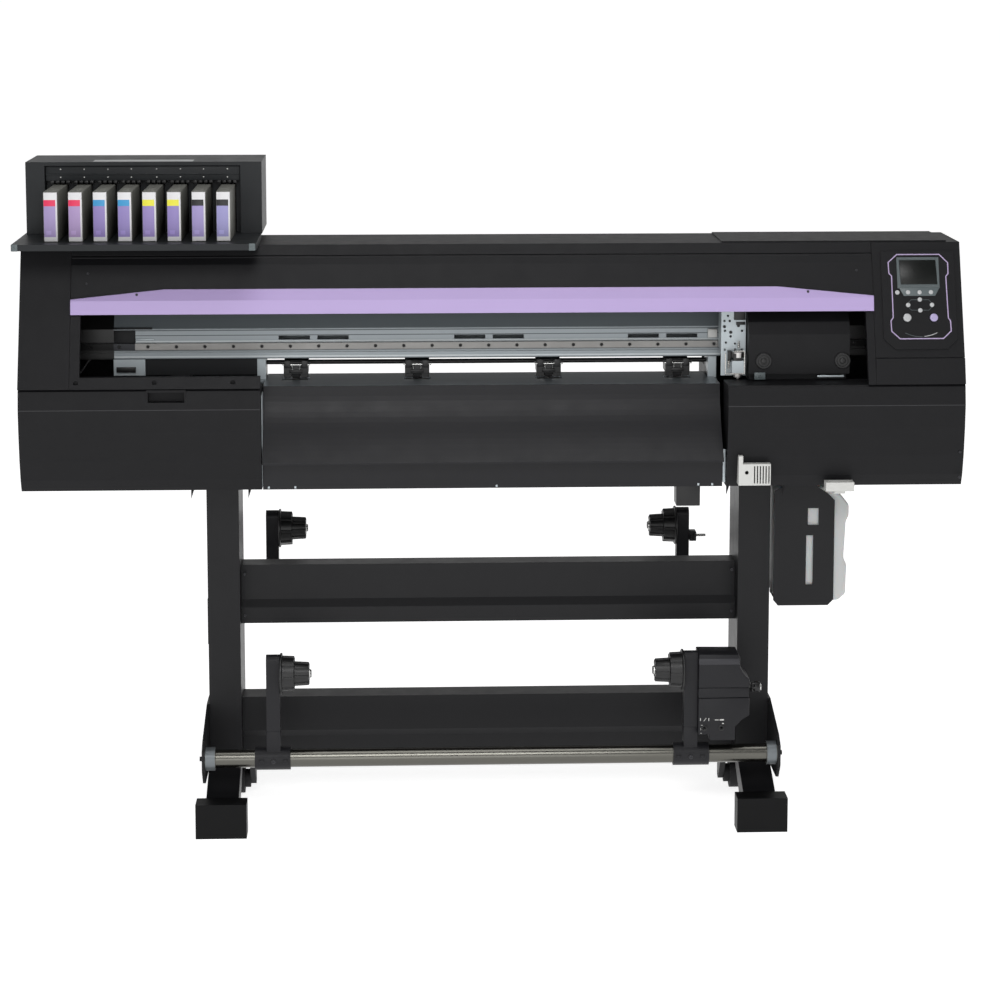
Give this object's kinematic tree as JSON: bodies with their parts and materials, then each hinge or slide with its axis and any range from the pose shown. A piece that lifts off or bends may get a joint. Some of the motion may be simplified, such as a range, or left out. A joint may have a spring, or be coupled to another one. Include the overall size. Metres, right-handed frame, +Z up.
{
  "type": "printer cutter",
  "caption": "Wide-format printer and vinyl cutter on a stand, with hinged covers, moving carriage, pinch rollers, ink cartridges, roll holders and take-up unit",
  "frame": {"origin": "on the floor, under the middle of the machine's bounding box", "axes": "+X to the right along the machine's length, +Y to the back, +Z up; the operator stands at -Y"},
  "size_m": [1.965, 0.7, 1.392],
  "materials": {
    "stand_paint": "satin",
    "frame_paint": "satin",
    "foot_plastic": "matte",
    "roll_steel": "polished",
    "shell_plastic": "satin",
    "lower_plastic": "satin",
    "guide_paint": "satin",
    "platen_metal": "satin",
    "bar_metal": "satin",
    "rail_steel": "ground",
    "ink_paint": "satin",
    "screen_plastic": "gloss",
    "lip_plastic": "satin gloss",
    "cutter_metal": "satin",
    "pinch_paint": "satin",
    "pinch_rubber": "matte",
    "lever_plastic": "satin",
    "bottle_plastic": "translucent",
    "arm_paint": "satin",
    "cone_plastic": "satin",
    "castor_paint": "satin",
    "castor_rubber": "matte",
    "key_plastic": "satin",
    "cartridge_plastic": "matte"
  },
  "bodies": {
    "stand": {"legs": "stand_paint", "feet": "stand_paint", "stand_beams": "stand_paint", "bottle_bracket": "stand_paint", "base_frame": "frame_paint", "maintenance_unit": "frame_paint", "foot_caps": "foot_plastic", "roll_tubes": "roll_steel", "side_cover_left": "shell_plastic", "side_cover_right": "shell_plastic", "panel_cover": "shell_plastic", "rear_cover": "shell_plastic", "lower_cover_right": "lower_plastic", "front_guide": "guide_paint", "platen": "platen_metal", "y_bar": "bar_metal", "linear_rail": "rail_steel", "ink_box": "ink_paint", "ink_shelf": "ink_paint", "display": "screen_plastic"},
    "front_cover": {"front_cover": "shell_plastic", "cover_lip": "lip_plastic"},
    "left_cover": {"lower_cover_left": "lower_plastic"},
    "carriage": {"carriage_cover": "shell_plastic", "carriage_base": "frame_paint", "cutter_carriage": "cutter_metal"},
    "tool": {"tool_holder": "cutter_metal"},
    "pinch": {"pinch_arms": "pinch_paint"},
    "pinch_rolls": {"pinch_wheels": "pinch_rubber"},
    "feed": {"feed_roller": "rail_steel"},
    "lever": {"clamp_lever": "lever_plastic"},
    "bottle": {"waste_bottle": "bottle_plastic"},
    "takeup_left": {"takeup_arm_left": "arm_paint"},
    "takeup_right": {"takeup_arm_right": "arm_paint", "takeup_motor": "arm_paint"},
    "takeup_spin_left": {"takeup_cone_left": "cone_plastic"},
    "takeup_spin_right": {"takeup_cone_right": "cone_plastic"},
    "knob": {"motor_knob": "cone_plastic"},
    "switches": {"motor_switches": "cone_plastic"},
    "supply_left": {"supply_arm_left": "arm_paint"},
    "supply_right": {"supply_arm_right": "arm_paint"},
    "supply_spin_left": {"supply_cone_left": "cone_plastic"},
    "supply_spin_right": {"supply_cone_right": "cone_plastic"},
    "fork_left": {"castor_fork_left": "castor_paint"},
    "fork_right": {"castor_fork_right": "castor_paint"},
    "wheel_left": {"castor_wheel_left": "castor_rubber"},
    "wheel_right": {"castor_wheel_right": "castor_rubber"},
    "key_select": {"select_key": "key_plastic"},
    "key_soft": {"soft_keys": "key_plastic"},
    "key_jog": {"jog_pad": "key_plastic"},
    "key_enter": {"enter_key": "key_plastic"},
    "key_power": {"power_key": "key_plastic"},
    "ink_1": {"cartridge_1": "cartridge_plastic"},
    "ink_2": {"cartridge_2": "cartridge_plastic"},
    "ink_3": {"cartridge_3": "cartridge_plastic"},
    "ink_4": {"cartridge_4": "cartridge_plastic"},
    "ink_5": {"cartridge_5": "cartridge_plastic"},
    "ink_6": {"cartridge_6": "cartridge_plastic"},
    "ink_7": {"cartridge_7": "cartridge_plastic"},
    "ink_8": {"cartridge_8": "cartridge_plastic"}
  },
  "joints": [
    {"name": "front_cover_hinge", "type": "hinge", "parent": "stand", "child": "front_cover", "pos_m": [0, -0.195, 1.2], "axis": [-1, 0, 0], "range_deg": [0, 55]},
    {"name": "left_cover_hinge", "type": "hinge", "parent": "stand", "child": "left_cover", "pos_m": [-0.73, -0.204, 0.722], "axis": [1, 0, 0], "range_deg": [0, 75]},
    {"name": "carriage_slide", "type": "slide", "parent": "stand", "child": "carriage", "axis": [1, 0, 0], "range_m": [-1.35, 0.02]},
    {"name": "tool_press", "type": "slide", "parent": "carriage", "child": "tool", "axis": [0, 0, -1], "range_m": [0, 0.004], "stiffness_N_per_m": 1500, "springref_m": -0.002},
    {"name": "pinch_lift", "type": "hinge", "parent": "stand", "child": "pinch", "pos_m": [0, -0.07, 0.96], "axis": [-1, 0, 0], "range_deg": [0, 6]},
    {"name": "pinch_spin", "type": "hinge", "parent": "pinch", "child": "pinch_rolls", "pos_m": [0, -0.11, 0.9383], "axis": [1, 0, 0], "continuous": true},
    {"name": "feed_spin", "type": "hinge", "parent": "stand", "child": "feed", "pos_m": [0, -0.11, 0.918], "axis": [1, 0, 0], "continuous": true},
    {"name": "lever_turn", "type": "hinge", "parent": "stand", "child": "lever", "pos_m": [0.7215, -0.16, 0.713], "axis": [1, 0, 0], "range_deg": [0, 30]},
    {"name": "bottle_slide", "type": "slide", "parent": "stand", "child": "bottle", "axis": [1, 0, 0], "range_m": [0, 0.16]},
    {"name": "takeup_left_slide", "type": "slide", "parent": "stand", "child": "takeup_left", "axis": [1, 0, 0], "range_m": [-0.07, 0.33]},
    {"name": "takeup_right_slide", "type": "slide", "parent": "stand", "child": "takeup_right", "axis": [1, 0, 0], "range_m": [-0.33, 0.02]},
    {"name": "takeup_left_turn", "type": "hinge", "parent": "takeup_left", "child": "takeup_spin_left", "pos_m": [-0.415, -0.3, 0.3385], "axis": [1, 0, 0], "continuous": true},
    {"name": "takeup_right_turn", "type": "hinge", "parent": "takeup_right", "child": "takeup_spin_right", "pos_m": [0.366, -0.3, 0.3385], "axis": [1, 0, 0], "continuous": true},
    {"name": "knob_turn", "type": "hinge", "parent": "takeup_right", "child": "knob", "pos_m": [0.54, -0.3, 0.3], "axis": [1, 0, 0], "continuous": true},
    {"name": "switch_flip", "type": "hinge", "parent": "takeup_right", "child": "switches", "pos_m": [0.457, -0.327, 0.2205], "axis": [1, 0, 0], "range_deg": [-15, 15]},
    {"name": "supply_left_slide", "type": "slide", "parent": "stand", "child": "supply_left", "axis": [1, 0, 0], "range_m": [-0.06, 0.3]},
    {"name": "supply_right_slide", "type": "slide", "parent": "stand", "child": "supply_right", "axis": [1, 0, 0], "range_m": [-0.3, 0.06]},
    {"name": "supply_left_turn", "type": "hinge", "parent": "supply_left", "child": "supply_spin_left", "pos_m": [-0.436, 0.17, 0.544], "axis": [1, 0, 0], "continuous": true},
    {"name": "supply_right_turn", "type": "hinge", "parent": "supply_right", "child": "supply_spin_right", "pos_m": [0.397, 0.17, 0.544], "axis": [1, 0, 0], "continuous": true},
    {"name": "castor_swivel_left", "type": "hinge", "parent": "stand", "child": "fork_left", "pos_m": [-0.552, -0.075, 0.09], "axis": [0, 0, 1], "continuous": true},
    {"name": "castor_roll_left", "type": "hinge", "parent": "fork_left", "child": "wheel_left", "pos_m": [-0.552, -0.045, 0.033], "axis": [1, 0, 0], "continuous": true},
    {"name": "castor_swivel_right", "type": "hinge", "parent": "stand", "child": "fork_right", "pos_m": [0.543, -0.075, 0.09], "axis": [0, 0, 1], "continuous": true},
    {"name": "castor_roll_right", "type": "hinge", "parent": "fork_right", "child": "wheel_right", "pos_m": [0.543, -0.045, 0.033], "axis": [1, 0, 0], "continuous": true},
    {"name": "press_select", "type": "slide", "parent": "stand", "child": "key_select", "axis": [0, 0.9423, -0.3349], "range_m": [0, 0.001], "stiffness_N_per_m": 600, "springref_m": -0.0005},
    {"name": "press_soft", "type": "slide", "parent": "stand", "child": "key_soft", "axis": [0, 0.9423, -0.3349], "range_m": [0, 0.001], "stiffness_N_per_m": 800, "springref_m": -0.0005},
    {"name": "press_jog", "type": "slide", "parent": "stand", "child": "key_jog", "axis": [0, 0.9423, -0.3349], "range_m": [0, 0.001], "stiffness_N_per_m": 800, "springref_m": -0.0005},
    {"name": "press_enter", "type": "slide", "parent": "stand", "child": "key_enter", "axis": [0, 0.9423, -0.3349], "range_m": [0, 0.001], "stiffness_N_per_m": 800, "springref_m": -0.0005},
    {"name": "press_power", "type": "slide", "parent": "stand", "child": "key_power", "axis": [0, 0.9423, -0.3349], "range_m": [0, 0.001], "stiffness_N_per_m": 800, "springref_m": -0.0005},
    {"name": "cartridge_slide_1", "type": "slide", "parent": "stand", "child": "ink_1", "axis": [0, -1, 0], "range_m": [0, 0.15]},
    {"name": "cartridge_slide_2", "type": "slide", "parent": "stand", "child": "ink_2", "axis": [0, -1, 0], "range_m": [0, 0.15]},
    {"name": "cartridge_slide_3", "type": "slide", "parent": "stand", "child": "ink_3", "axis": [0, -1, 0], "range_m": [0, 0.15]},
    {"name": "cartridge_slide_4", "type": "slide", "parent": "stand", "child": "ink_4", "axis": [0, -1, 0], "range_m": [0, 0.15]},
    {"name": "cartridge_slide_5", "type": "slide", "parent": "stand", "child": "ink_5", "axis": [0, -1, 0], "range_m": [0, 0.15]},
    {"name": "cartridge_slide_6", "type": "slide", "parent": "stand", "child": "ink_6", "axis": [0, -1, 0], "range_m": [0, 0.15]},
    {"name": "cartridge_slide_7", "type": "slide", "parent": "stand", "child": "ink_7", "axis": [0, -1, 0], "range_m": [0, 0.15]},
    {"name": "cartridge_slide_8", "type": "slide", "parent": "stand", "child": "ink_8", "axis": [0, -1, 0], "range_m": [0, 0.15]}
  ],
  "couplings": [
    {"joint": "lever_turn", "follows": "pinch_lift", "ratio": 5},
    {"joint": "pinch_spin", "follows": "feed_spin", "ratio": -1.5}
  ]
}
